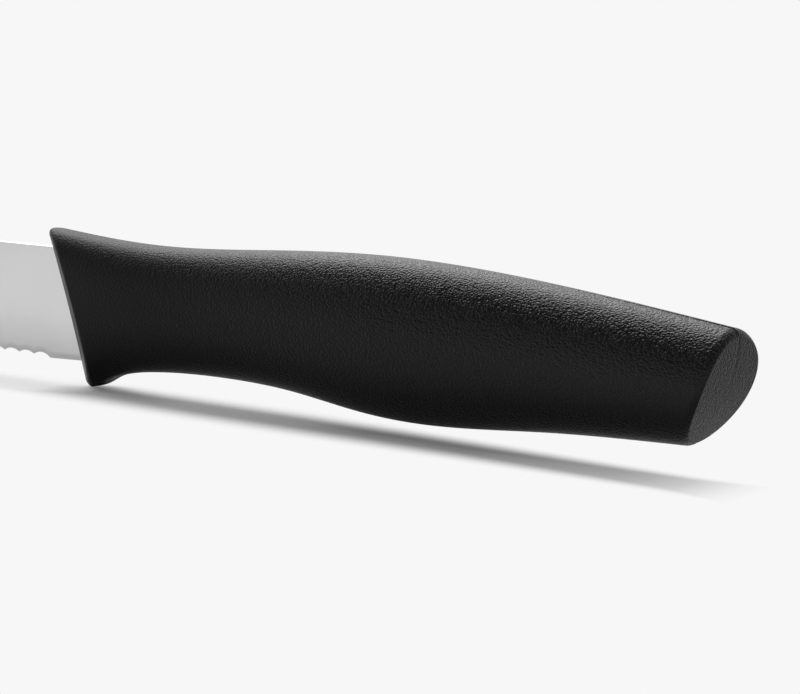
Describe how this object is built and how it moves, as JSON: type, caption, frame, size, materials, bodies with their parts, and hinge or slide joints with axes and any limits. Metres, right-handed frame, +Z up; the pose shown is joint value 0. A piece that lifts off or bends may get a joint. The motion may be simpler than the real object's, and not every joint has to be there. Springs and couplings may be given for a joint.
{
  "type": "cheese knife",
  "caption": "Small cheese knife: a fine scalloped steel blade with an upswept forked tip, its tang locked into a curved black moulded handle with a guard.",
  "frame": {"origin": "on the floor, under the middle of the knife's bounding box; the guard's lowest point touches Z = 0", "axes": "+X towards the handle's butt, +Z up to the spine with the cutting edge facing down, Y = 0 is the blade's middle plane"},
  "size_m": [0.215, 0.0134, 0.0234],
  "materials": {
    "steel": "satin ground stainless steel",
    "black_plastic": "fine leather-like moulded grain, low sheen"
  },
  "bodies": {
    "root": {"blade": "steel", "handle": "black_plastic"}
  },
  "joints": []
}
